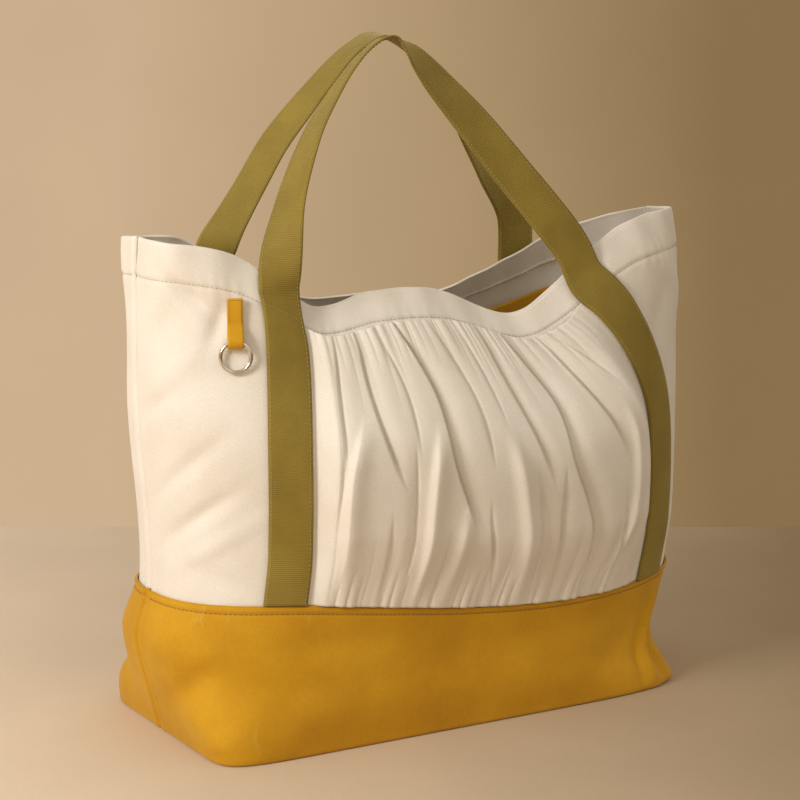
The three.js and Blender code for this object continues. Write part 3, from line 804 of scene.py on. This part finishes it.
# Long folds: shares across the pocket at its top, at three quarters, half and quarter height and at
# its bottom, the share of its height that it runs between, its depth as a share of the fold depth and
# below zero for a ridge, its width, and how much wider it is on its right side.
FOLDS = [
    (0.1, 0.086, 0.086, 0.09, 0.09, 0.45, 1.0, 0.35, 0.006, 2.6),
    (0.172, 0.167, 0.2, 0.27, 0.3, 0.38, 1.0, 0.62, 0.006, 4.0),
    (0.23, 0.262, 0.262, 0.26, 0.26, 0.5, 1.0, 0.28, 0.009, 2.4),
    (0.3, 0.342, 0.351, 0.405, 0.42, 0.2, 1.0, 0.95, 0.006, 6.0),
    (0.41, 0.447, 0.45, 0.45, 0.45, 0.45, 1.0, 0.3, 0.01, 2.4),
    (0.5, 0.51, 0.51, 0.52, 0.52, 0.6, 1.0, 0.25, 0.009, 2.0),
    (0.58, 0.573, 0.6, 0.66, 0.68, 0.38, 1.0, 0.6, 0.006, 4.5),
    (0.665, 0.693, 0.68, 0.738, 0.765, -0.2, 1.0, 1.0, 0.0055, 6.0),
    (0.797, 0.8, 0.832, 0.88, 0.9, 0.4, 1.0, 0.62, 0.006, 4.0),
    (0.835, 0.882, 0.93, 0.95, 0.96, 0.66, 1.0, 0.4, 0.006, 3.0),
    (0.16, 0.15, 0.098, 0.084, 0.09, -0.2, 0.7, -0.5, 0.009, 3.4),
    (0.07, 0.08, 0.078, 0.064, 0.066, -0.2, 0.6, 0.28, 0.01, 0.9),
    (0.36, 0.345, 0.298, 0.282, 0.283, -0.2, 0.66, -0.5, 0.01, 2.6),
    (0.25, 0.25, 0.25, 0.247, 0.24, 0.05, 0.6, 0.38, 0.02, 1.0),
    (0.5, 0.505, 0.516, 0.545, 0.577, -0.2, 0.64, -0.5, 0.018, 1.2),
    (0.57, 0.57, 0.57, 0.59, 0.61, -0.2, 0.5, 0.4, 0.01, 2.0),
    (0.44, 0.44, 0.44, 0.448, 0.5, 0.02, 0.38, 0.42, 0.004, 2.0),
    (0.6, 0.6, 0.6, 0.6, 0.633, -0.2, 0.24, 0.35, 0.005, 1.6),
    (0.65, 0.65, 0.65, 0.645, 0.675, -0.2, 0.5, 0.42, 0.007, 2.4),
    (0.84, 0.84, 0.84, 0.838, 0.863, -0.2, 0.35, 0.35, 0.006, 1.8),
    (0.86, 0.865, 0.868, 0.86, 0.82, 0.0, 0.7, -0.32, 0.012, 1.5),
    (0.4, 0.4, 0.4, 0.37, 0.36, -0.2, 0.4, -0.35, 0.015, 1.3),
    (0.34, 0.34, 0.34, 0.335, 0.33, -0.2, 0.3, 0.3, 0.006, 2.0),
    (0.19, 0.19, 0.19, 0.19, 0.19, -0.2, 0.35, 0.3, 0.008, 2.0),
]
FOLD_HEIGHTS = np.array([0, 0.25, 0.5, 0.75, 1])


def fold_depth(across, up):
    depth = np.zeros_like(across)
    for top, high, middle, low, bottom, start, end, deep, wide, right in FOLDS:
        spots = table("up place", *zip(FOLD_HEIGHTS, (bottom, low, middle, high, top)))
        place = column(spots, "up", up, "place")
        window = smoothstep(up, start, start + 0.18)
        if end >= 1:
            window *= 1 - 0.6 * smoothstep(up, end - 0.15, end)
        else:
            window *= 1 - smoothstep(up, end - 0.2, end)
        reach = np.where(across < place, wide, wide * right)
        broad = bump((across - place) / reach)
        crease = bump((across - place) / CREASE_WIDTH) if deep > 0 else broad
        depth += deep * window * (0.62 * broad + 0.5 * crease)
    return FOLD_DEPTH * depth


def pleats(across, count, wander, phase):
    """Round puffs with sharp valleys between them, uneven in width."""
    drift = across + wander * np.sin(2 * np.pi * across * 3.1 + phase)
    drift += 0.4 * wander * np.sin(2 * np.pi * across * 9.7 + 2 * phase)
    return np.abs(np.sin(np.pi * drift * count)) ** 0.7


def gathers(across, up):
    """Small pleats that fan out from the pocket's top and bottom stitches."""
    strong = 0.65 + 0.35 * np.sin(2 * np.pi * across * 9.7 + 0.5)
    high = pleats(across, 35, 0.012, 1.0) * np.clip((up - 0.82) / 0.18, 0, 1) ** 0.9
    long = pleats(across, 17, 0.02, 2.0) * np.clip((up - 0.64) / 0.36, 0, 1) ** 1.2
    low = pleats(across, 30, 0.012, 3.0) * np.clip(1 - up / 0.13, 0, 1) ** 0.9
    rise = pleats(across, 13, 0.02, 4.0) * np.clip(1 - up / 0.3, 0, 1) ** 1.2
    return (2.3 * high * strong + 1.6 * long + 1.9 * low * strong + 1.3 * rise) * MM


def pocket_lift(across, up):
    flat = (POCKET_TUCK + 1.5 * MM) / (STRAP_SPACING - STRAP_WIDTH)
    sides = smoothstep(across, flat, flat + 0.045) * smoothstep(1 - across, flat, flat + 0.075)
    low = smoothstep(up, -0.06, 0.26)
    high = 1 - 0.65 * smoothstep(up, 0.5, 1)
    puff = POCKET_BULGE * low * high - fold_depth(across, up) * low + gathers(across, up)
    return POCKET_EDGE + np.maximum(sides * puff, 0)


def gathered_pocket():
    across = np.linspace(0, 1, POCKET_COLUMNS + 1)
    levels = np.linspace(SEAM_TOP_LEVEL, POCKET_TOP_LEVEL, POCKET_ROWS + 1)
    inset = STRAP_WIDTH / 2 - POCKET_TUCK
    outer = []
    inner = []
    uv = []
    for j, level in enumerate(levels):
        start = strap_at(FRONT, level, "left") + inset
        end = strap_at(FRONT, level, "right") - inset
        right = start + (end - start) * across
        along = along_at(FRONT, level, right)
        lift = pocket_lift(across, j / POCKET_ROWS)
        outer.append(cloth(FRONT, along, level, lift + POCKET_THICKNESS))
        inner.append(cloth(FRONT, along, level, lift))
        uv.append(np.stack([POCKET_CLOTH_RUN * across, 0 * across + level * PANEL_HEIGHT], -1))
    made = loop_sheet("pocket_cloth", outer, inner[::5], canvas, uv, uv[::5])
    return finish_piece(made, "bag", ("gathered_pocket",))


# Suede pocket inside the back panel

def inner_pocket():
    top = INNER_POCKET_TOP_LEVEL
    levels = np.linspace(INNER_POCKET_BOTTOM_LEVEL, top, 40)
    along = np.linspace(INNER_POCKET_LEFT, INNER_POCKET_RIGHT, 90)[::-1]
    share = (INNER_POCKET_RIGHT - along) / (INNER_POCKET_RIGHT - INNER_POCKET_LEFT)
    outer = []
    inner = []
    for level in levels:
        gape = INNER_POCKET_GAPE * smoothstep(level, 1.5, top) * np.sin(np.pi * share)
        lift = panel_relief(BACK, along, level) - CANVAS_THICKNESS - CLEARANCE - gape
        outer.append(cloth(BACK, along, level, lift))
        inner.append(cloth(BACK, along, level, lift - INNER_POCKET_THICKNESS))
    uv = np.zeros((len(levels), len(along), 2))
    made = loop_sheet("inner_pocket_suede", outer, inner, suede, uv, uv)
    return finish_piece(made, "bag", ("inner_pocket",))


# Webbing handles

class Ribbon:
    """The middle line of a handle with its facing, from one sewn end to the other."""

    def __init__(self, side, handle):
        self.side = side
        pocket = CLEARANCE + POCKET_EDGE + POCKET_THICKNESS
        under = 2 * CLEARANCE + (pocket if side == FRONT else 0)
        self.under = under
        ends = []
        for end in ("left", "right"):
            points = []
            for level in (SEWN_TOP_LEVEL - 0.07, SEWN_TOP_LEVEL):
                along = along_at(side, level, strap_at(side, level, end))
                points.append(cloth(side, along, level, under + STRAP_THICKNESS / 2))
            ends.append(points)
        (a0, a1), (b0, b1) = ends
        rows = [a0, a1]
        for reach, lean, rise in zip(handle["reach"], handle["lean"], handle["rise"]):
            foot = a1 + (b1 - a1) * (reach + 1) / 2
            rows.append(np.array([
                foot[0],
                foot[1] * (1 - lean),
                foot[2] + (HANDLE_HEIGHT - foot[2]) * rise,
            ]))
        rows += [b1, b0]
        self.route = np.array(rows)
        self.turns = np.radians(np.concatenate([[0, 0], handle["turn"], [0, 0]]))

    def sewn(self, level, end):
        across = np.linspace(-0.5, 0.5, STRAP_ACROSS)
        along = along_at(self.side, level, strap_at(self.side, level, end) + across * STRAP_WIDTH)
        outer = cloth(self.side, along, level, self.under + STRAP_THICKNESS)
        inner = cloth(self.side, along, level, self.under)
        return outer, inner

    def point(self, t):
        """Place and direction on the centripetal curve through the route's points."""
        i = min(int(t * (len(self.route) - 1)), len(self.route) - 2)
        w = t * (len(self.route) - 1) - i
        p = self.route
        p1, p2 = p[i], p[i + 1]
        p0 = p[i - 1] if i > 0 else 2 * p1 - p2
        p3 = p[i + 2] if i + 2 < len(p) else 2 * p2 - p1
        dt0 = np.linalg.norm(p1 - p0) ** 0.5
        dt1 = np.linalg.norm(p2 - p1) ** 0.5
        dt2 = np.linalg.norm(p3 - p2) ** 0.5
        t1 = ((p1 - p0) / dt0 - (p2 - p0) / (dt0 + dt1) + (p2 - p1) / dt1) * dt1
        t2 = ((p2 - p1) / dt1 - (p3 - p1) / (dt1 + dt2) + (p3 - p2) / dt2) * dt1
        c2 = -3 * p1 + 3 * p2 - 2 * t1 - t2
        c3 = 2 * p1 - 2 * p2 + t1 + t2
        place = p1 + t1 * w + c2 * w ** 2 + c3 * w ** 3
        tangent = t1 + 2 * c2 * w + 3 * c3 * w ** 2
        return place, tangent / np.linalg.norm(tangent), i, w

    def free(self, t):
        place, tangent, i, w = self.point(t)
        w = w * w * (3 - 2 * w)
        turn = self.turns[i] * (1 - w) + self.turns[i + 1] * w
        facing = np.array([0.0, FRONT, 0.0]) + tangent * tangent[1]
        facing /= np.linalg.norm(facing)
        side = np.cross(tangent, facing)
        facing = facing * np.cos(turn) + side * np.sin(turn)
        wide = np.cross(tangent, facing)
        out = facing if self.side == FRONT else -facing
        across = np.linspace(-0.5, 0.5, STRAP_ACROSS)[:, None] * STRAP_WIDTH
        middle = place + wide * across
        half = STRAP_THICKNESS / 2
        return middle + out * half, middle - out * half

    def stations(self):
        count = len(self.route) - 1
        levels = np.linspace(SEAM_TOP_LEVEL, SEWN_TOP_LEVEL, SEWN_STATIONS)
        made = [self.sewn(level, "left") for level in levels]
        loop = np.linspace(1 / count, 1 - 1 / count, LOOP_STATIONS)[1:-1]
        made += [self.free(t) for t in loop]
        for level in levels[::-1]:
            outer, inner = self.sewn(level, "right")
            made.append((outer[::-1], inner[::-1]))
        return made


def soften(stations, rounds):
    """Evens out the bends of the free webbing and where it leaves the panel."""
    rows = np.array(stations)
    place = np.arange(len(rows))
    edge = np.minimum(place, len(rows) - 1 - place)
    loose = 0.5 * smoothstep(edge, SEWN_STATIONS - 16, SEWN_STATIONS)[1:-1, None, None, None]
    for _ in range(rounds):
        rows[1:-1] += loose * ((rows[:-2] + rows[2:]) / 2 - rows[1:-1])
    return rows


def handle(side):
    name = "front_webbing" if side == FRONT else "back_webbing"
    ribbon = Ribbon(side, FRONT_HANDLE if side == FRONT else BACK_HANDLE)
    rows = soften(ribbon.stations(), SOFTEN_ROUNDS)
    outer, inner = rows[:, 0], rows[:, 1]
    middle = (outer[:, STRAP_ACROSS // 2] + inner[:, STRAP_ACROSS // 2]) / 2
    steps = np.linalg.norm(np.diff(middle, axis=0), axis=1)
    run = np.concatenate([[0], np.cumsum(steps)])
    selvedge = np.linspace(-1, 1, STRAP_ACROSS)
    thin = 1 - 0.35 * smoothstep(np.abs(selvedge), 0.8, 1)
    mid = (outer + inner) / 2
    outer = mid + (outer - mid) * thin[None, :, None]
    inner = mid + (inner - mid) * thin[None, :, None]
    ring = np.concatenate([outer, inner[:, ::-1]], axis=1)
    across = np.linspace(0, STRAP_WIDTH, STRAP_ACROSS)
    uv_ring = np.concatenate([across, across[::-1]])
    uv = np.stack(np.broadcast_arrays(uv_ring[None, :], run[:, None]), -1)
    faces = tube_faces(*ring.shape[:2])
    if side == BACK:
        faces = [f[::-1] for f in faces]
    made = make_object(name, ring.reshape(-1, 3), faces, webbing, uv.reshape(-1, 2))
    replaced = "front_handle" if side == FRONT else "back_handle"
    finish_piece(made, "bag", (replaced,))
    return outer, inner


# Tab and ring

class TabFrame:
    """The tab's own frame: x to the right, y up the panel, z away from it."""

    def __init__(self):
        radius = (RING_BORE + RING_WIRE) / 2
        dip = radius - np.sqrt((RING_BORE / 2) ** 2 - (TAB_WIDTH / 2) ** 2)
        self.radius = radius
        self.loop = dip + CLEARANCE
        level = 2 - (TAB_DROP + TAB_LENGTH) / PANEL_HEIGHT
        self.middle = strap_at(FRONT, level, "left") - STRAP_WIDTH / 2 - TAB_FROM_STRAP
        centre = self.spot(level, 0, 0)
        x = self.spot(level, TAB_WIDTH / 2, 0) - self.spot(level, -TAB_WIDTH / 2, 0)
        x[2] = 0
        self.x = x / np.linalg.norm(x)
        z = np.cross(self.x, self.spot(level, 0, TAB_LENGTH) - centre)
        self.z = z / np.linalg.norm(z)
        self.y = np.cross(self.z, self.x)
        self.origin = centre + self.z * (TAB_LIFT + TAB_THICKNESS + self.loop)

    def spot(self, level, right, up):
        raised = level + up / PANEL_HEIGHT
        return cloth(FRONT, along_at(FRONT, raised, self.middle + right), raised)

    def world(self, x, y, z):
        return self.origin + self.x * x + self.y * y + self.z * z


def tab_profile(tab):
    """Middle line of the folded strip, as y and z, from the back's top round the loop to the
    front's top."""
    mid = tab.loop + TAB_THICKNESS / 2
    back = [(TAB_LENGTH - 0.2 * MM - s, -mid) for s in np.linspace(0, TAB_LENGTH, 16)[:-1]]
    turn = [(-mid * np.sin(a), -mid * np.cos(a)) for a in np.linspace(0, np.pi, 18)]
    rise = np.linspace(0, 1, 14)[1:]
    pinch = smoothstep(rise, 0.0, 1.0)
    shut = 2 * mid - TAB_THICKNESS - TAB_FACES_GAP
    front = [(TAB_PINCH * r, mid - shut * p) for r, p in zip(rise, pinch)]
    last = front[-1][1]
    up = [(y, last) for y in np.linspace(TAB_PINCH, TAB_LENGTH, 12)[1:]]
    return np.array(back + turn + front + up)


def ring_tab(tab):
    line = tab_profile(tab)
    tangent = np.gradient(line, axis=0)
    tangent /= np.linalg.norm(tangent, axis=1)[:, None]
    normal = np.stack([-tangent[:, 1], tangent[:, 0]], -1)
    across = np.linspace(-1, 1, 11)
    rings = []
    for (y, z), (ny, nz) in zip(line, normal):
        top = []
        bottom = []
        for a in across:
            half = TAB_THICKNESS / 2 * (1 - 0.45 * smoothstep(abs(a), 0.75, 1))
            x = a * TAB_WIDTH / 2
            top.append(tab.world(x, y + ny * half, z + nz * half))
            bottom.append(tab.world(x, y - ny * half, z - nz * half))
        rings.append(top + bottom[::-1])
    verts = np.array(rings)
    faces = tube_faces(*verts.shape[:2])
    made = make_object("tab_suede", verts.reshape(-1, 3), faces, suede)
    recalculate_normals(made)
    return finish_piece(made, "bag", ("ring_tab",))


def ring(tab):
    verts = []
    for a in np.linspace(0, 2 * np.pi, WIRE_PARTS, endpoint=False):
        for b in np.linspace(0, 2 * np.pi, WIRE_SIDES, endpoint=False):
            r = tab.radius + RING_WIRE / 2 * np.cos(b)
            verts.append(tab.world(r * np.sin(a), r * np.cos(a) - tab.radius, RING_WIRE / 2 * np.sin(b)))
    faces = grid_faces(WIRE_PARTS, WIRE_SIDES, closed_rows=True, closed_columns=True)
    made = make_object("nickel_ring", verts, faces, nickel)
    recalculate_normals(made)
    return finish_piece(made, "ring", ("o_ring",))


def recalculate_normals(obj):
    mesh = bmesh.new()
    mesh.from_mesh(obj.data)
    bmesh.ops.recalc_face_normals(mesh, faces=mesh.faces)
    mesh.to_mesh(obj.data)
    mesh.free()


# Stitches

def resample(line, values, pitch):
    """The values at even steps along a line of points."""
    run = np.concatenate([[0], np.cumsum(np.linalg.norm(np.diff(line, axis=0), axis=1))])
    count = max(int(run[-1] / pitch), 2)
    marks = np.linspace(0, run[-1], count + 1)
    return np.stack([np.interp(marks, run, values[:, k]) for k in range(3)], -1)


def stitch_mesh(lines, pitch, length, thick):
    """Small capsules along lines. Each line is a pair of points and outward normals."""
    verts = []
    faces = []
    profile = [(-0.5, 0.35), (-0.3, 0.95), (0.3, 0.95), (0.5, 0.35)]
    for points, normals in lines:
        places = resample(points, points, pitch)
        out = resample(points, normals, pitch)
        for a, b, n in zip(places[:-1], places[1:], out[:-1]):
            direction = (b - a) / np.linalg.norm(b - a)
            n = n - direction * np.dot(n, direction)
            n /= np.linalg.norm(n)
            w = np.cross(direction, n)
            centre = (a + b) / 2 + n * thick * STITCH_SINK
            base = len(verts)
            for share, width in profile:
                for s in range(STITCH_SIDES):
                    angle = 2 * np.pi * s / STITCH_SIDES
                    verts.append(
                        centre + direction * share * length
                        + (n * np.cos(angle) * 0.8 + w * np.sin(angle)) * thick / 2 * width
                    )
            faces += tube_faces(len(profile), STITCH_SIDES, base)
    return verts, faces


def stitches(name, lines, mat, slot, pitch=3.6 * MM, length=2.6 * MM, thick=0.7 * MM):
    verts, faces = stitch_mesh(lines, pitch, length, thick)
    made = make_object(name, verts, faces, mat)
    recalculate_normals(made)
    return finish_piece(made, "bag")


def cloth_line(side, alongs, levels, lift_of):
    """Points on a panel or the base, with outward normals."""
    points = []
    out = []
    for along, level in zip(alongs, levels):
        one = np.array([along])
        lift = lift_of(one, level)
        points.append(cloth(side, one, level, lift)[0])
        out.append(cloth(side, one, level, lift + 1 * MM)[0] - points[-1])
    return np.array(points), np.array(out) / MM


def hem_stitches():
    lines = []
    for side in (FRONT, BACK):
        alongs = np.linspace(0.006, 0.994, SEAM_POINTS)
        levels = np.full(SEAM_POINTS, HEM_LEVEL)
        lines.append(cloth_line(side, alongs, levels, lambda a, l, s=side: panel_relief(s, a, l)))
        inner = cloth_line(
            side, alongs, levels, lambda a, l, s=side: panel_relief(s, a, l) - 2 * CANVAS_THICKNESS)
        lines.append((inner[0], -inner[1]))
    return stitches("hem_stitches", lines, canvas_thread, "canvas")


def band_stitches():
    lines = []
    out = SUEDE_THICKNESS + CLEARANCE
    for side in (FRONT, BACK):
        alongs = np.linspace(0.012, 0.988, SEAM_POINTS)
        levels = np.full(SEAM_POINTS, BAND_FOLD_LEVEL)
        lines.append(cloth_line(side, alongs, levels, lambda a, l, s=side: out + base_relief(s, a, l)))
    size = {"pitch": 4 * MM, "length": 3 * MM, "thick": 0.8 * MM}
    return stitches("band_stitches", lines, suede_thread, "suede", **size)


def strap_stitches(name, outer, inner):
    """Rows beside both edges of a handle, on both its faces."""
    lines = []
    half = STRAP_ACROSS // 2
    for face, other in ((outer, inner), (inner, outer)):
        for edge in (-1, 1):
            a = face[:, half + edge * (half - 1)]
            b = face[:, half + edge * half]
            points = a + (b - a) * 0.25
            lines.append((points, direction_out(face, other)))
    size = {"pitch": 3.4 * MM, "length": 2.3 * MM, "thick": 0.55 * MM}
    return stitches(name, lines, webbing_thread, "webbing", **size)


def direction_out(face, other):
    half = STRAP_ACROSS // 2
    out = face[:, half] - other[:, half]
    return out / np.linalg.norm(out, axis=1)[:, None]


def cross_stitches(name, side, outer):
    """The row across each end of a handle, just under the rim."""
    lines = []
    sewn = np.linspace(SEAM_TOP_LEVEL, SEWN_TOP_LEVEL, SEWN_STATIONS)
    row = int(np.argmin(np.abs(sewn - HANDLE_STITCH_LEVEL)))
    for station in (row, len(outer) - 1 - row):
        points = outer[station][1:-1]
        along_webbing = outer[station + 1][1:-1] - outer[station - 1][1:-1]
        n = np.cross(points[-1] - points[0], along_webbing[len(points) // 2])
        n /= np.linalg.norm(n)
        if n[1] * side < 0:
            n = -n
        lines.append((points, np.tile(n, (len(points), 1))))
    size = {"pitch": 2.6 * MM, "length": 2 * MM, "thick": 0.6 * MM}
    return stitches(name, lines, webbing_thread, "webbing", **size)


def tab_stitches(tab):
    lines = []
    mid = tab.loop + TAB_THICKNESS / 2
    face = mid - (2 * mid - TAB_THICKNESS - TAB_FACES_GAP) + TAB_THICKNESS / 2
    top = TAB_LENGTH - TAB_STITCH_INSET
    for a in (-TAB_STITCH_SHARE, TAB_STITCH_SHARE):
        x = a * TAB_WIDTH / 2
        points = [tab.world(x, y, face) for y in np.linspace(TAB_PINCH, top, 12)]
        lines.append((np.array(points), np.tile(tab.z, (12, 1))))
    xs = np.linspace(-TAB_STITCH_SHARE, TAB_STITCH_SHARE, 8) * TAB_WIDTH / 2
    points = [tab.world(x, top, face) for x in xs]
    lines.append((np.array(points), np.tile(tab.z, (8, 1))))
    size = {"pitch": 2.2 * MM, "length": 1.6 * MM, "thick": 0.5 * MM}
    return stitches("tab_stitches", lines, suede_thread, "suede", **size)


# Stage, lights and camera

def floor_material():
    """Matt paper with painted light falloff: lighter at the left, with painted shade growing darker
    towards the right.
    """
    m = Nodes("floor_paper")
    place = m.coordinates("Object")
    clouds = m.ramp(m.noise(place, 6, 3), (0.35, (0.94, 0.94, 0.94)), (0.65, (1, 1, 1)))
    side = m.math("ADD", m.along(place, ACROSS), 0.5)
    # painted light on the floor's left and painted shade towards its right
    tone = m.ramp(side, (0, FLOOR_PAINTED_LIT_LEFT), (0.5, FLOOR_PAINTED_HALF_SHADE), (1, FLOOR_PAINTED_SHADE_RIGHT))
    tone = m.mix(1.0, tone, clouds, "MULTIPLY")
    specks = m.noise(place, 900, 2)
    m.set(Base_Color=tone, Roughness=0.95, Specular_IOR_Level=0.1, Normal=m.bump(specks, 0.3, 0.001))
    return m.mat


def stage():
    across = Vector(ACROSS)
    away = Vector((-ACROSS[1], ACROSS[0], 0))
    edge = away * FLOOR_EDGE
    near = away * -FLOOR_REACH
    reach = across * FLOOR_REACH
    corners = [near - reach, near + reach, edge + reach, edge - reach]
    floor = make_object("floor", corners, [(0, 1, 2, 3)], floor_material(), smooth=False)


def aim(obj, place, target):
    obj.location = place
    obj.rotation_euler = (Vector(target) - Vector(place)).to_track_quat("-Z", "Y").to_euler()


def area_light(name, place, size, power, colour):
    data = bpy.data.lights.new(name, "AREA")
    data.size = size
    data.energy = power
    data.color = colour
    obj = bpy.data.objects.new(name, data)
    bpy.context.scene.collection.objects.link(obj)
    aim(obj, place, LIGHT_TARGET)


def lights():
    area_light("key", KEY_PLACE, KEY_SIZE, KEY_POWER, KEY_COLOUR)
    area_light("fill", FILL_PLACE, FILL_SIZE, FILL_POWER, FILL_COLOUR)
    world = bpy.data.worlds.new("studio")
    m = Nodes("studio", world)
    look = m.coordinates("Generated")
    side = m.math("MULTIPLY_ADD", m.along(look, ACROSS), WALL_SPREAD)
    # painted light on the wall's left and painted shade towards its right
    wall = m.ramp(side, (0.15, WALL_PAINTED_LIT_LEFT), (0.55, WALL_PAINTED_HALF_SHADE), (0.9, WALL_PAINTED_SHADE_RIGHT))
    mottle = m.ramp(m.noise(look, 14, 3), (0.3, (0.95, 0.95, 0.95)), (0.7, (1, 1, 1)))
    wall = m.mix(1.0, wall, mottle, "MULTIPLY")
    height = m.ramp(m.along(look, (0, 0, 1)), (0.02, (0, 0, 0)), (0.2, (1, 1, 1)))
    m.set(Color=m.mix(height, wall, DOME), Strength=1.0)
    bpy.context.scene.world = world
    bpy.context.scene.view_settings.view_transform = "Standard"


def camera():
    data = bpy.data.cameras.new("camera")
    data.sensor_width = SENSOR_WIDTH
    data.lens = FOCAL_PIXELS / PICTURE_PIXELS * SENSOR_WIDTH
    obj = bpy.data.objects.new("camera", data)
    bpy.context.scene.collection.objects.link(obj)
    aim(obj, CAMERA_PLACE, CAMERA_TARGET)
    bpy.context.scene.camera = obj


camera()
canvas_panel(FRONT)
canvas_panel(BACK)
suede_base()
pocket = gathered_pocket()
inner_pocket()
for strap_side, strap_name in ((FRONT, "front"), (BACK, "back")):
    strap_outer, strap_inner = handle(strap_side)
    strap_stitches(strap_name + "_edge_stitches", strap_outer, strap_inner)
    cross_stitches(strap_name + "_cross_stitches", strap_side, strap_outer)
tab_frame = TabFrame()
ring_tab(tab_frame)
ring(tab_frame)
tab_stitches(tab_frame)
hem_stitches()
band_stitches()
stage()
lights()
